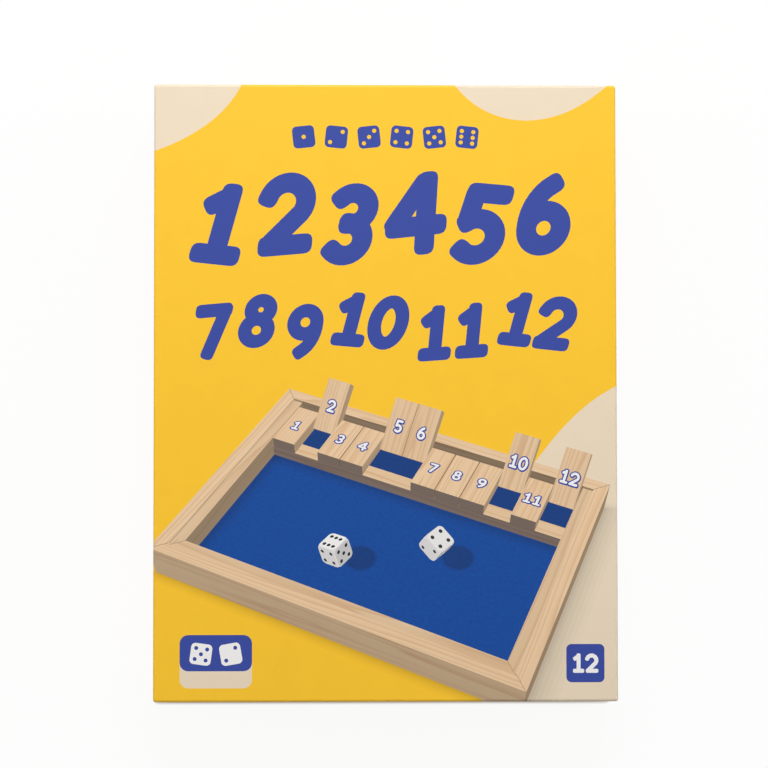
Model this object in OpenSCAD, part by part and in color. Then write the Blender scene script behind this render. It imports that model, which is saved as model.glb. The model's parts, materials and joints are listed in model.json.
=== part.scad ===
// Shut-the-box dice game in its lidded card box.
// A wooden tray with twelve hinged number tiles and two dice lies in a wrapped greyboard base, and
// a wrapped greyboard lid slides down over it. The box lies on its back: +Z is up, the cover faces
// +Z, +Y runs up the cover and +X to its right. The origin is the centre of the underside.
// In the tray's own frame +X runs along the row of tiles, from tile 1 to the last, and +Y runs to
// the rail behind the tiles.

/* [Number tiles] */
// Number of tiles in the row
tile_count = 12; // [9:1:12]
// Width of one tile
tile_w = 19.2; // [16:0.1:24]
// Length of one tile
tile_l = 43; // [38:0.5:52]
// Thickness of one tile
tile_t = 9; // [7:0.5:12]
// Gap between neighbouring tiles
tile_gap = 0.8; // [0.4:0.1:2]
// Radius that the tile's edges are sanded to
tile_edge_r = 0.7; // [0.3:0.1:1.5]
// Distance from a tile's rear end to the pivot
pivot_inset = 6; // [5:0.5:9]
// Diameter of the steel pivot rod
rod_d = 3; // [2:0.5:4]
// Running clearance round the rod, on the radius
rod_play = 0.06; // [0.02:0.01:0.1]

/* [Wooden tray] */
// Width of the raised rim of a rail
rim_w = 10; // [7:0.5:16]
// Width of the ledge inside the rim of the front and side rails
ledge_w = 8; // [5:0.5:14]
// Depth of that ledge below the rim
ledge_drop = 2; // [1:0.5:4]
// Height of the rim above the tops of the tiles
rim_rise = 1.3; // [0.5:0.1:4]
// Gap behind the tiles, which sets how far they lean back
back_gap = 6.5; // [5.5:0.5:7]
// Depth of the felt area that the dice are thrown on
throw_d = 121; // [90:1:160]
// Height of the divider bar that the tiles lie on
divider_h = 9; // [9:0.5:16]
// Depth of the divider bar from front to back
divider_d = 12; // [8:0.5:16]
// Radius that the rails' edges are sanded to
rail_edge_r = 0.8; // [0.3:0.1:1.5]
// Thickness of the plywood floor
floor_t = 3; // [2.5:0.5:5]
// Height of the hollow under the floor
foot_h = 2.9; // [2:0.1:6]
// Depth of the grooves that hold the floor
groove_d = 5; // [3:0.5:6]
// Thickness of the felt
felt_t = 0.8; // [0.5:0.1:2]
// Depth of each rod hole in the side rails
rod_seat = 8; // [4:0.5:12]
// Clearance of a fitted wooden piece in its groove or hole
wood_play = 0.05; // [0.02:0.01:0.2]

/* [Dice] */
// Edge length of a die
die_size = 16; // [12:0.5:18]
// Radius of a pip's rim
pip_r = 1.35; // [0.9:0.05:1.6]
// Distance of a die's outer pips from the middle of the face
pip_pitch = 3.9; // [2.8:0.1:4.4]
// Distance of the first die from the row's first end
die_from_end = 58.4; // [14:0.1:200]
// Distance of the first die from the front rail
die_from_front = 31.25; // [14:0.05:100]
// Distance of the second die from the first along the row
die_step_x = 38; // [24:0.5:100]
// Distance of the second die from the first towards the back rail
die_step_y = 32; // [24:0.5:60]
// Angle that the first die lies at
die_spin_1 = 24; // [-90:1:90]
// Angle that the second die lies at
die_spin_2 = -17; // [-90:1:90]

/* [Card box] */
// Thickness of the greyboard
board_t = 1.6; // [1.2:0.1:2.4]
// Thickness of the wrapping paper
paper_t = 0.2; // [0.15:0.05:0.3]
// Outer radius of the wrapped edges
wrap_r = 1.2; // [0.8:0.1:2.5]
// Width of the paper that is folded over an edge
turn_in = 15; // [8:1:25]
// Play between the lid and the base on each side
lid_play = 0.4; // [0.2:0.1:1.2]
// Height of the base that shows under the closed lid
lid_reveal = 3; // [2:0.5:12]
// Gap between the base's rim and the inside of the closed lid
lid_seat = 0.2; // [0.1:0.1:1]
// Room left over a tile's tip as it swings up inside the closed box
swing_room = 2.9; // [1:0.1:20]

/* [Card insert and leaflet] */
// Width of the card channel behind the tray
channel_w = 11; // [11:0.5:30]
// Thickness of the corrugated card
card_t = 1.5; // [1:0.1:3]
// Thickness of the folded pads at the tray's ends
pad_t = 2.8; // [2.4:0.1:8]
// Play round the insert
insert_play = 0.3; // [0.2:0.1:0.6]
// Play in front of the tray
tray_play = 0.5; // [0.3:0.1:1]
// Width of the folded rules leaflet
leaflet_w = 105; // [70:1:140]
// Length of the folded rules leaflet
leaflet_l = 148; // [100:1:200]
// Thickness of the folded rules leaflet
leaflet_t = 0.8; // [0.4:0.1:1.6]

/* [Hidden] */
// Straight steps that make up each rounded corner
corner_steps = 4;
// Overshoot of a cutting shape past the face that it opens
cut = 1;

// The row of tiles
tile_pitch = tile_w + tile_gap;
row_l = tile_count * tile_pitch + tile_gap;

// The tray
rail_w = rim_w + ledge_w;
tray_l = row_l + 2 * rail_w;
well_d = back_gap + tile_l + throw_d;
tray_d = rim_w + well_d + rail_w;
floor_z = foot_h;
felt_z = floor_z + floor_t;
divider_z = felt_z + felt_t;
tile_z = divider_z + divider_h;
tray_h = tile_z + tile_t + rim_rise;
ledge_z = tray_h - ledge_drop;
back_y = tray_d / 2 - rim_w;
tile_rear_y = back_y - back_gap;
tile_front_y = tile_rear_y - tile_l;
front_y = -tray_d / 2 + rail_w;
pivot_y = tile_rear_y - pivot_inset;
pivot_z = tile_z + tile_t / 2;
rod_r = rod_d / 2;
// How far a tile's tip swings from its pivot
swing_r = norm([tile_l - pivot_inset, tile_t / 2]);

// The box, built outwards from the tray
skin = board_t + paper_t;
base_in_w = tray_play + tray_d + channel_w + 2 * insert_play;
base_in_l = tray_l + 2 * pad_t + 4 * insert_play;
base_w = base_in_w + 2 * skin;
base_l = base_in_l + 2 * skin;
lid_in_w = base_w + 2 * (lid_play + paper_t);
lid_in_l = base_l + 2 * (lid_play + paper_t);
box_w = lid_in_w + 2 * skin;
box_l = lid_in_l + 2 * skin;
lid_in_z = skin + pivot_z + swing_r + swing_room;
box_h = lid_in_z + skin;
base_h = lid_in_z - lid_seat;
tray_x = base_in_w / 2 - tray_play - tray_d / 2;

// Where the dice lie on the felt
die_x = -row_l / 2 + die_from_end;
die_y = front_y + die_from_front;

// The colours
cover_yellow = "#fdc733";
grey_card = "#b9b2a6";
kraft = "#b98d5c";
leaflet_white = "#f2efe6";
pine = "#e3bf8f";
plywood = "#d2ad78";
felt_blue = "#1d4f9c";
steel = "#b4b6b8";
die_white = "#f4f3ef";

TILES = [for (i = [1:tile_count]) str("tile_", i < 10 ? "0" : "", i)];

// ---- Shared forms -------------------------------------------------------------------------

// Points of one rounded corner about [x, y], a quarter turn from the angle a.
function corner(x, y, r, a) =
    [for (i = [0:corner_steps]) let (t = a + 90 * i / corner_steps) [x + r * cos(t), y + r * sin(t)]];

// Outline of a w by d rectangle about the origin. Its four corners, from the upper right one and
// anticlockwise, have the radii in r.
function rounded(w, d, r) = concat(
    corner(w / 2 - r[0], d / 2 - r[0], r[0], 0),
    corner(-w / 2 + r[1], d / 2 - r[1], r[1], 90),
    corner(-w / 2 + r[2], -d / 2 + r[2], r[2], 180),
    corner(w / 2 - r[3], -d / 2 + r[3], r[3], 270));

// A block of w by d by h standing on the origin, with its upright edges and its top edges rounded
// to r, and its bottom edges to foot_r.
module eased_block(w, d, h, r, foot_r) {
    side = [r, r, foot_r, foot_r];
    intersection() {
        linear_extrude(h) polygon(rounded(w, d, [r, r, r, r]));
        translate([0, d / 2, h / 2]) rotate([90, 0, 0]) linear_extrude(d) polygon(rounded(w, h, side));
        translate([-w / 2, 0, h / 2]) rotate([90, 0, 90]) linear_extrude(w) polygon(rounded(d, h, side));
    }
}

// A plain block of w by d by h standing on the origin.
module block(w, d, h) {
    translate([-w / 2, -d / 2, 0]) cube([w, d, h]);
}

// Places a piece of the tray in the box.
module in_box() {
    translate([tray_x, 0, skin]) rotate([0, 0, 90]) children();
}

// ---- Card box -----------------------------------------------------------------------------

// The greyboard tray of the base.
module base_board() {
    color(grey_card) difference() {
        translate([0, 0, paper_t])
            eased_block(base_w - 2 * paper_t, base_l - 2 * paper_t, base_h - 2 * paper_t,
                        wrap_r - paper_t, wrap_r - paper_t);
        translate([0, 0, skin]) block(base_in_w, base_in_l, base_h);
    }
}

// The printed paper round the base. It is folded in over the rim and under the bottom.
module base_wrap() {
    band = base_h - turn_in;
    color(cover_yellow) difference() {
        eased_block(base_w, base_l, base_h, wrap_r, wrap_r);
        base_board();
        translate([0, 0, skin]) block(base_in_w, base_in_l, band - skin);
        translate([0, 0, skin]) block(base_in_w - 2 * paper_t, base_in_l - 2 * paper_t, base_h);
        translate([0, 0, -cut]) block(base_w - 2 * turn_in, base_l - 2 * turn_in, paper_t + cut);
    }
}

// The sheet that covers the bottom inside the folded paper. The box rests on it.
module base_sheet() {
    color(cover_yellow) block(base_w - 2 * turn_in, base_l - 2 * turn_in, paper_t);
}

// The greyboard shell of the lid.
module lid_board() {
    color(grey_card) difference() {
        translate([0, 0, lid_reveal + paper_t])
            eased_block(box_w - 2 * paper_t, box_l - 2 * paper_t, box_h - lid_reveal - 2 * paper_t,
                        wrap_r - paper_t, wrap_r / 2);
        block(lid_in_w, lid_in_l, lid_in_z);
    }
}

// The printed paper round the lid, folded in over its rim.
module lid_wrap() {
    band = lid_reveal + turn_in;
    color(cover_yellow) difference() {
        translate([0, 0, lid_reveal])
            eased_block(box_w, box_l, box_h - lid_reveal, wrap_r, wrap_r / 2);
        lid_board();
        translate([0, 0, band]) block(lid_in_w, lid_in_l, lid_in_z - band);
        block(lid_in_w - 2 * paper_t, lid_in_l - 2 * paper_t, band + cut);
    }
}

// The folded corrugated card that keeps the tray in place: a channel behind the tray, which is
// open underneath, and a pad at each end.
module card_insert() {
    length = base_in_l - 2 * insert_play;
    channel_x = -base_in_w / 2 + insert_play + channel_w / 2;
    pad_w = tray_play + tray_d;
    pad_x = channel_x + channel_w / 2 + pad_w / 2;
    pad_y = length / 2 - pad_t / 2;
    color(kraft) translate([0, 0, skin]) {
        difference() {
            translate([channel_x, 0, 0]) block(channel_w, length, tray_h);
            translate([channel_x, 0, -cut])
                block(channel_w - 2 * card_t, length + 2 * cut, tray_h - card_t + cut);
        }
        for (side = [-1, 1])
            translate([pad_x, side * pad_y, 0]) block(pad_w, pad_t, tray_h);
    }
}

// The folded rules leaflet, which lies on the base under the tray.
module rules_leaflet() {
    fold_r = leaflet_t / 2.01;
    color(leaflet_white) translate([tray_x, leaflet_l / 2, skin + leaflet_t / 2]) rotate([90, 0, 0])
        linear_extrude(leaflet_l)
            polygon(rounded(leaflet_w, leaflet_t, [0.05, fold_r, fold_r, 0.05]));
}

// ---- Wooden tray --------------------------------------------------------------------------

// Section of a rail: x runs inwards from the outer face and y up. The floor's groove is cut into
// the inner face.
function rail_section(rim, ledge) =
    let (inner = rim + ledge, groove_top = floor_z + floor_t + wood_play, r = rail_edge_r)
    concat(
        [[0, 0], [inner, 0], [inner, floor_z], [inner - groove_d, floor_z],
         [inner - groove_d, groove_top], [inner, groove_top]],
        ledge > 0 ? concat(corner(inner - r, ledge_z - r, r, 0), [[rim, ledge_z]]) : [],
        corner(rim - r, tray_h - r, r, 0),
        corner(r, tray_h - r, r, 90));

// A rail of the given length with its outer face on the X axis, running inwards along +Y.
module rail(length, rim, ledge) {
    translate([-length / 2, 0, 0]) rotate([90, 0, 90])
        linear_extrude(length) polygon(rail_section(rim, ledge));
}

// Keeps the part of a piece that lies over the outline.
module cut_to(outline) {
    intersection() {
        children();
        translate([0, 0, -cut]) linear_extrude(tray_h + 2 * cut) polygon(outline);
    }
}

// The front rail, mitred at both ends.
module rail_front() {
    color(pine) in_box() translate([0, -tray_d / 2, 0])
        cut_to([[-tray_l / 2, 0], [tray_l / 2, 0], [row_l / 2, rail_w], [-row_l / 2, rail_w]])
            rail(tray_l, rim_w, ledge_w);
}

// The back rail, which has no ledge, so that the raised tiles can lean on its inner edge.
module rail_back() {
    in_l = tray_l - 2 * rim_w;
    color(pine) in_box() translate([0, tray_d / 2, 0]) rotate([0, 0, 180])
        cut_to([[-tray_l / 2, 0], [tray_l / 2, 0], [in_l / 2, rim_w], [-in_l / 2, rim_w]])
            rail(tray_l, rim_w, 0);
}

// The side rail at the end of the row that side names, -1 or 1. It is mitred at the front, and at
// the back as far as the rim goes. The rod's blind hole opens in its inner face.
module side_rail(side) {
    color(pine) in_box() mirror([side < 0 ? 1 : 0, 0, 0]) rotate([0, 0, 90])
        translate([0, -tray_l / 2, 0]) difference() {
            cut_to([[-tray_d / 2, 0], [tray_d / 2, 0], [back_y, rim_w],
                    [back_y, rail_w], [front_y, rail_w]])
                rail(tray_d, rim_w, ledge_w);
            translate([pivot_y, rail_w - rod_seat, pivot_z]) rotate([-90, 0, 0])
                cylinder(h = rod_seat + cut, r = rod_r + wood_play, $fn = 48);
        }
}

// The plywood floor, held in the rails' grooves.
module tray_floor() {
    reach = groove_d - 4 * wood_play;
    color(plywood) in_box() translate([0, (back_y + front_y) / 2, floor_z])
        block(row_l + 2 * reach, well_d + 2 * reach, floor_t);
}

// The felt that is glued over the whole floor.
module felt_sheet() {
    color(felt_blue) in_box() translate([0, (back_y + front_y) / 2, felt_z])
        block(row_l - 2 * wood_play, well_d - 2 * wood_play, felt_t);
}

// The bar in front of the tiles, which their front ends lie on.
module divider_bar() {
    color(pine) in_box() translate([0, tile_front_y + divider_d / 2, divider_z])
        block(row_l, divider_d, divider_h);
}

// The steel rod through all the tiles.
module pivot_rod() {
    length = row_l + 2 * (rod_seat - wood_play);
    color(steel) in_box() translate([-length / 2, pivot_y, pivot_z]) rotate([0, 90, 0])
        cylinder(h = length, r = rod_r, $fn = 48);
}

// Tile number i, lying down with its front end on the divider bar.
module tile(i) {
    x = (i - (tile_count + 1) / 2) * tile_pitch;
    color(pine) in_box() translate([x, tile_rear_y - tile_l / 2, tile_z]) difference() {
        eased_block(tile_w, tile_l, tile_t, tile_edge_r, tile_edge_r);
        translate([-tile_w / 2 - cut, tile_l / 2 - pivot_inset, tile_t / 2]) rotate([0, 90, 0])
            cylinder(h = tile_w + 2 * cut, r = rod_r + rod_play, $fn = 48);
    }
}

// ---- Dice ---------------------------------------------------------------------------------

// Places of the pips on a face that shows n, in steps of the pip pitch.
function pips(n) = concat(
    n % 2 == 1 ? [[0, 0]] : [],
    n > 1 ? [[-1, -1], [1, 1]] : [],
    n > 3 ? [[-1, 1], [1, -1]] : [],
    n == 6 ? [[-1, 0], [1, 0]] : []);

// The turns that bring each face up, for the faces that show 1 to 6. Opposite faces add up to 7.
FACE_TURNS = [[0, 0, 0], [90, 0, 0], [0, 90, 0], [0, -90, 0], [-90, 0, 0], [180, 0, 0]];

// A die about the origin: a cube cut by a sphere, with a round dimple for each pip.
module die() {
    half = die_size / 2;
    bite_r = pip_r * 1.35;
    bite_z = half + sqrt(bite_r * bite_r - pip_r * pip_r);
    color(die_white) difference() {
        intersection() {
            cube(die_size, center = true);
            sphere(r = half * 1.38, $fn = 96);
        }
        for (n = [1:6]) rotate(FACE_TURNS[n - 1])
            for (p = pips(n)) translate([p[0] * pip_pitch, p[1] * pip_pitch, bite_z])
                sphere(r = bite_r, $fn = 32);
    }
}

// A die lying on the felt at [x, y] of the tray, turned by the given angles.
module thrown_die(x, y, spin, roll) {
    in_box() translate([x, y, divider_z + die_size / 2]) rotate([0, 0, spin]) rotate(roll) die();
}

// ---- Nodes --------------------------------------------------------------------------------

base_board();
base_wrap();
base_sheet();
card_insert();
rules_leaflet();
lid_board();
lid_wrap();
rail_back();
rail_front();
side_rail(-1);  // rail_left
side_rail(1);  // rail_right
tray_floor();
felt_sheet();
divider_bar();
pivot_rod();
thrown_die(die_x, die_y, die_spin_1, [0, 0, 0]);  // die_1
thrown_die(die_x + die_step_x, die_y + die_step_y, die_spin_2, FACE_TURNS[1]);  // die_2
for (i = [1:tile_count])
    tile(i);
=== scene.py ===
"""Shut-the-box dice game in its card box: the looks of every piece, in order of assembly.

The base of the box holds a card insert, a leaflet and the wooden tray with its hinged tiles, felt
and dice. The printed lid closes it. Sizes are in millimetres until a mesh is made.
"""

import json
import math
import random

import bmesh
import bpy
from mathutils import Matrix, Vector
from mathutils.geometry import convex_hull_2d, delaunay_2d_cdt

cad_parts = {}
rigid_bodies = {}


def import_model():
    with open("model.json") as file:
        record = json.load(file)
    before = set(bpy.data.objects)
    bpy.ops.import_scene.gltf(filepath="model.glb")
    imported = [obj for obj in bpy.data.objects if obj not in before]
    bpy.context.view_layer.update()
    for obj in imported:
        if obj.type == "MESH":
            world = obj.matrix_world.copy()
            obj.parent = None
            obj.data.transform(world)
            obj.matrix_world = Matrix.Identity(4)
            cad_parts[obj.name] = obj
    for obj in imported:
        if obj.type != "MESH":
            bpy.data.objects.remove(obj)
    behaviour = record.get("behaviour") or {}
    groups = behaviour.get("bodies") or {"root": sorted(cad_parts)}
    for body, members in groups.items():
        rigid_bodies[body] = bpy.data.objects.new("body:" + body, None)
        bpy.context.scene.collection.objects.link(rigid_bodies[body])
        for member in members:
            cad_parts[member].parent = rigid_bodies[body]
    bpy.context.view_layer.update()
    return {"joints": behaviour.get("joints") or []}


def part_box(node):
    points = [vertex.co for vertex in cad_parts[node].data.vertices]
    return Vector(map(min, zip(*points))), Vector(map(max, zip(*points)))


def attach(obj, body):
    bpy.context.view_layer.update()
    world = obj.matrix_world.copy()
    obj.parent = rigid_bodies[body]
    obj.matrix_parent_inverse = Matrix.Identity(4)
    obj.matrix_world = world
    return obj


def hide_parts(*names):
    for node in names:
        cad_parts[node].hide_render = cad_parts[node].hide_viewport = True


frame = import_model()
MM = 0.001

# ---- Greyboard of the base -----------------------------------------------------------------
# The box's own stiffness: grey board pressed from waste paper, cut, creased and corner-taped into a
# shallow tray. Bare board shows inside, dull grey with darker and paler flecks of fibre.
PULP_CLOUD_MM = 16.7
FLECK_MM = 0.7
FIBRE_MM = 2.6


def linear(hex_code):
    """The linear colour of an sRGB hex value."""
    parts = [int(hex_code[i:i + 2], 16) / 255 for i in (1, 3, 5)]
    return [c / 12.92 if c <= 0.04045 else ((c + 0.055) / 1.055) ** 2.4 for c in parts] + [1]


def connect(node, inputs):
    """Sets a node's inputs, by name or by place among those in use. Nodes and sockets are linked."""
    usable = [socket for socket in node.inputs if socket.enabled]
    for key, value in inputs.items():
        socket = usable[key] if isinstance(key, int) else next(s for s in usable if s.name == key)
        if isinstance(value, bpy.types.Node):
            value = next(output for output in value.outputs if output.enabled)
        if isinstance(value, bpy.types.NodeSocket):
            node.id_data.links.new(value, socket)
        else:
            socket.default_value = linear(value) if isinstance(value, str) else value


def add(tree, kind, inputs=None, **settings):
    """Adds a node with its settings and its inputs."""
    made = tree.nodes.new(kind)
    for name, value in settings.items():
        setattr(made, name, value)
    connect(made, inputs or {})
    return made


def maths(tree, operation, *values):
    return add(tree, "ShaderNodeMath", dict(enumerate(values)), operation=operation)


def vectors(tree, operation, *values):
    return add(tree, "ShaderNodeVectorMath", dict(enumerate(values)), operation=operation)


def noise(tree, place, size, detail=2.0, distortion=0.0):
    """Noise whose clouds are about a size across, in the place's own measure."""
    return add(tree, "ShaderNodeTexNoise",
               {"Vector": place, "Scale": 1 / size, "Detail": detail, "Distortion": distortion})


def mix(tree, factor, first, second):
    """A colour that goes from the first to the second with a factor."""
    return add(tree, "ShaderNodeMix", {"Factor": factor, "A": first, "B": second}, data_type="RGBA")


def ranged(tree, value, low, high):
    """A value from 0 to 1, brought between two levels."""
    return add(tree, "ShaderNodeMapRange", {"Value": value, "To Min": low, "To Max": high})


def bump(tree, height, distance, strength, under=None):
    """A bump of a distance in mm, over the one under it."""
    made = add(tree, "ShaderNodeBump", {"Height": height, "Distance": distance * MM, "Strength": strength})
    if under:
        connect(made, {"Normal": under})
    return made


def new_material(name):
    """A new material, its node tree and its shader."""
    made = bpy.data.materials.new(name)
    made.use_nodes = True
    return made, made.node_tree, made.node_tree.nodes["Principled BSDF"]


def object_mm(tree, centre=(0, 0, 0), turn=(0, 0, 0)):
    """Object coordinates in millimetres, seen from a centre and turned."""
    place = add(tree, "ShaderNodeTexCoord").outputs["Object"]
    scaled = vectors(tree, "SCALE", place, 1 / MM)
    moved = vectors(tree, "SUBTRACT", scaled, centre)
    return add(tree, "ShaderNodeVectorRotate", {"Vector": moved, "Rotation": turn},
               rotation_type="EULER_XYZ", invert=True)


def overlay(tree, under, colour, value, start, end, share):
    """Lays a colour over another one as a value goes from start to end, up to a share."""
    laid = add(tree, "ShaderNodeMapRange", {"Value": value, "From Min": start, "From Max": end,
                                            "To Max": share})
    return mix(tree, laid, under, colour)


def clothe(names, material):
    """Gives the CAD pieces a material in every slot."""
    for name in names:
        slots = bpy.data.objects[name].material_slots
        if not slots:
            bpy.data.objects[name].data.materials.append(material)
        for slot in slots:
            slot.material = material


greyboard, tree, shader = new_material("greyboard")
place = object_mm(tree)
# Matted pulp: small flecks of old print, and longer pale fibres, on an uneven ground.
ground = noise(tree, place, PULP_CLOUD_MM, detail=3.0)
fleck = add(tree, "ShaderNodeTexVoronoi", {"Vector": place, "Scale": 1 / FLECK_MM})
fibre = noise(tree, place, FIBRE_MM, detail=5.0, distortion=2.5)
base = mix(tree, ground, "#a9a296", "#bfb8ab")
flecked = overlay(tree, base, "#6f6a66", fleck, 0.22, 0.05, 0.4)
pulp = overlay(tree, flecked, "#d3ccbe", fibre, 0.56, 0.7, 0.5)
matted = bump(tree, fibre, 0.12, 0.6)
# Uncoated and absorbent, so it never shines.
connect(shader, {"Base Color": pulp, "Normal": matted, "Roughness": 0.92})
clothe(["base_board"], greyboard)

# ---- Printed paper of the base -------------------------------------------------------------
# Yellow litho-printed paper glued round the board, folded in over the rim and under the bottom,
# and a plain sheet of the same stock that covers the bottom inside the fold.
COVER_YELLOW = "#fdc72f"
FILM_ROUGHNESS = 0.38
FILM_IOR = 1.32  # matt film scatters much of its reflection, so it veils the inks less than gloss does
MOTTLE_MM = 11.1  # from one unevenness of the ink to the next
BOARD_WAVE_MM = 11.0  # from one wave of the glued board to the next
PAPER_TOOTH_MM = 0.35  # from grain to grain of the coating


def shaded(tree, colour, level):
    """A colour times a level."""
    grey = add(tree, "ShaderNodeCombineColor", {0: level, 1: level, 2: level})
    return add(tree, "ShaderNodeMix", {"Factor": 1.0, "A": colour, "B": grey},
               data_type="RGBA", blend_type="MULTIPLY")


def finish_as_print(tree, shader, colour, tone=1.0):
    """Satin film over coated paper: a soft sheen on a surface that follows the board's slight
    waves. tone shades the ink's colour."""
    place = object_mm(tree)
    mottle = noise(tree, place, MOTTLE_MM, detail=3.0)
    even = ranged(tree, mottle, 0.97, 1.02)
    inked = shaded(tree, colour, maths(tree, "MULTIPLY", tone, even))
    wave = noise(tree, place, BOARD_WAVE_MM)
    tooth = noise(tree, place, PAPER_TOOTH_MM)
    broad = bump(tree, wave, 0.06, 0.5)
    fine = bump(tree, tooth, 0.006, 0.5, broad)
    connect(shader, {"Base Color": inked, "Normal": fine, "Roughness": FILM_ROUGHNESS, "IOR": FILM_IOR,
                     "Coat Weight": 0.05, "Coat Roughness": 0.25})


plain_yellow, tree, shader = new_material("yellow_printed_paper")
finish_as_print(tree, shader, COVER_YELLOW)
clothe(["base_wrap", "base_sheet"], plain_yellow)

# ---- Corrugated insert ---------------------------------------------------------------------
# Brown corrugated card that packs the tray tight: a folded channel behind it and a doubled pad at
# each end. Two liners hold a waved middle layer, whose flutes show at every cut edge.
LINER = 0.22  # thickness of a liner and of the fluting
LINER_PAPER = 0.96 * LINER  # a little less, so that the layers stay apart where they meet
FLUTE_PITCH = 3.2
FLUTE_STEPS = 12
CHANNEL_BOARD = 1.5
CHANNEL_W = 11.0  # over both walls
CHANNEL_FOOT = 0.05  # from the base to the walls' cut edges
FOLD_INSIDE = 0.3  # radius inside the channel's folds
PAD_BOARD = 1.4
PAD_PLAY = 0.2  # that a pad is cut short at each end, and in its height
KRAFT_FIBRE_MM = 1.11
KRAFT_CLOUD_MM = 25.0


def box_mm(*nodes):
    """The box round some nodes, in mm."""
    corners = [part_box(node) for node in nodes]
    low = Vector([min(c[0][k] for c in corners) for k in range(3)]) / MM
    high = Vector([max(c[1][k] for c in corners) for k in range(3)]) / MM
    return low, high


def arc(x, y, radius, start, end, step=10, squash=1.0):
    """Points of an arc in degrees, squashed across Y."""
    count = max(2, round(abs(end - start) / step))
    turns = [math.radians(start + (end - start) * i / count) for i in range(count + 1)]
    return [(x + radius * math.cos(t), y + squash * radius * math.sin(t)) for t in turns]


def new_group(name, inputs):
    """A new group of geometry nodes, and the sockets of its inputs."""
    group = bpy.data.node_groups.new(name, "GeometryNodeTree")
    for label, kind in inputs.items():
        group.interface.new_socket(label, in_out="INPUT", socket_type="NodeSocket" + kind)
    group.interface.new_socket("Geometry", in_out="OUTPUT", socket_type="NodeSocketGeometry")
    return group, add(group, "NodeGroupInput").outputs


def grown(data, group, values):
    """The mesh that a group of geometry nodes makes from some data."""
    made = bpy.data.objects.new(group.name, data)
    bpy.context.collection.objects.link(made)
    nodes = made.modifiers.new(group.name, "NODES")
    nodes.node_group = group
    for item in group.interface.items_tree:
        if item.name in values:
            nodes[item.identifier] = values[item.name]
    mesh = bpy.data.meshes.new_from_object(made.evaluated_get(bpy.context.evaluated_depsgraph_get()))
    bpy.data.objects.remove(made)
    return mesh


def mesh_of(name, points, faces, materials=(), inks=()):
    """A mesh of points in metres. inks is each face's place among the materials."""
    mesh = bpy.data.meshes.new(name)
    mesh.from_pydata(points, [], faces)
    for material in materials:
        mesh.materials.append(material)
    if inks:
        mesh.polygons.foreach_set("material_index", inks)
    return mesh


def placed_object(mesh, body):
    """An object at the origin that rides on a body and takes its finish from a slot."""
    made = bpy.data.objects.new(mesh.name, mesh)
    bpy.context.collection.objects.link(made)
    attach(made, body)
    return made


def thicken(piece, thickness):
    """Makes a piece's sheets as thick as the paper, equally to both sides."""
    paper = piece.modifiers.new("paper", "SOLIDIFY")
    paper.thickness = thickness * MM
    paper.offset = 0.0


board_nodes, given = new_group("corrugated_board", {
    "Path": "Geometry", "Thickness": "Float", "Pitch": "Float", "Width": "Float", "Card": "Material"})
step = maths(board_nodes, "DIVIDE", given["Pitch"], FLUTE_STEPS)
path = add(board_nodes, "GeometryNodeResampleCurve", {"Curve": given["Path"], "Length": step}, mode="LENGTH")
along = add(board_nodes, "GeometryNodeSplineParameter")
tangent = add(board_nodes, "GeometryNodeInputTangent")
side = vectors(board_nodes, "CROSS_PRODUCT", tangent, (0, 0, 1))
turns = maths(board_nodes, "DIVIDE", along.outputs["Length"], given["Pitch"])
angle = maths(board_nodes, "MULTIPLY", turns, 2 * math.pi)
swing = maths(board_nodes, "SINE", angle)
half = maths(board_nodes, "MULTIPLY", given["Thickness"], 0.5)
reach = maths(board_nodes, "SUBTRACT", half, LINER / 2 * MM)
crest = maths(board_nodes, "SUBTRACT", half, LINER * 1.5 * MM)
flute = maths(board_nodes, "MULTIPLY", swing, crest)
lower = maths(board_nodes, "MULTIPLY", reach, -1.0)
depth = add(board_nodes, "ShaderNodeCombineXYZ", {"Z": given["Width"]})
layers = add(board_nodes, "GeometryNodeJoinGeometry")
for distance in (reach, flute, lower):
    move = vectors(board_nodes, "SCALE", side, distance)
    placed = add(board_nodes, "GeometryNodeSetPosition", {"Geometry": path, "Offset": move})
    line = add(board_nodes, "GeometryNodeCurveToMesh", {"Curve": placed})
    layer = add(board_nodes, "GeometryNodeExtrudeMesh", {"Mesh": line, "Offset": depth}, mode="EDGES")
    connect(layers, {0: layer})
real = add(board_nodes, "GeometryNodeRealizeInstances", {"Geometry": layers})
cased = add(board_nodes, "GeometryNodeSetMaterial", {"Geometry": real, "Material": given["Card"]})
add(board_nodes, "NodeGroupOutput", {0: cased})

kraft, tree, shader = new_material("kraft_card")
place = object_mm(tree)
# Kraft liner: long brown fibres lie mostly one way, on a clouded ground.
drawn = vectors(tree, "MULTIPLY", place, (1.0, 0.25, 1.0))
fibre = noise(tree, drawn, KRAFT_FIBRE_MM, detail=5.0)
cloud = noise(tree, place, KRAFT_CLOUD_MM)
brown = mix(tree, cloud, "#b08553", "#c29a68")
streaked = overlay(tree, brown, "#8f673c", fibre, 0.5, 0.75, 0.45)
felted = bump(tree, fibre, 0.08, 0.5)
connect(shader, {"Base Color": streaked, "Normal": felted, "Roughness": 0.85})


def folded_board(points, width, thickness, place):
    """The mesh of a board that follows a path in mm across its section, with its two liners."""
    curve = bpy.data.curves.new("path", "CURVE")
    curve.dimensions = "3D"
    spline = curve.splines.new("POLY")
    spline.points.add(len(points) - 1)
    for point, (x, y) in zip(spline.points, points):
        point.co = (x * MM, y * MM, 0, 1)
    board = grown(curve, board_nodes, {"Thickness": thickness * MM, "Pitch": FLUTE_PITCH * MM,
                                       "Width": width * MM, "Card": kraft})
    bpy.data.curves.remove(curve)
    board.transform(place)
    return board


insert_low, insert_high = box_mm("card_insert")
channel_high = insert_low.x + CHANNEL_W
insert_h = insert_high.z - insert_low.z
half_l = (insert_high.y - insert_low.y) / 2
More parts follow.
